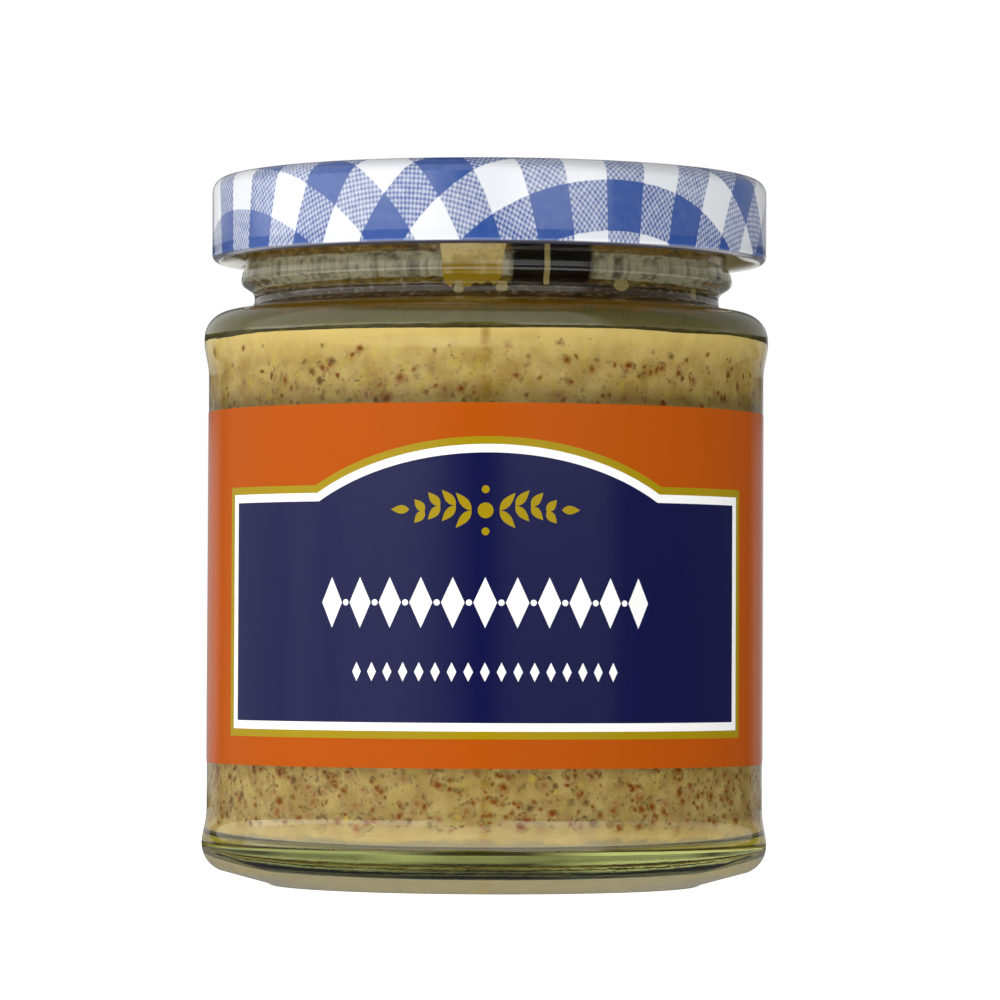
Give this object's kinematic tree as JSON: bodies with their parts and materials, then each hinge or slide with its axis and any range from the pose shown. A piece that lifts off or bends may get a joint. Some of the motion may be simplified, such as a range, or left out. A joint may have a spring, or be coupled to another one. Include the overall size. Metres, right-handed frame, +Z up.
{
  "type": "mustard jar",
  "caption": "Shut round glass jar of wholegrain mustard with a checked metal lug lid and a wrap-around paper label with an arched panel.",
  "frame": {"origin": "centre of the ring that the jar stands on, at the lowest point of the glass", "axes": "+Z up along the jar's axis; the label's front faces -Y and the gap between the label's ends faces +Y"},
  "size_m": [0.0676, 0.0676, 0.0844],
  "materials": {
    "glass": "polished",
    "lid_lacquer": "gloss",
    "label_paper": "satin",
    "mustard": "satin"
  },
  "bodies": {
    "root": {"glass_jar": "glass", "lid": "lid_lacquer", "label": "label_paper", "mustard": "mustard"}
  },
  "joints": []
}
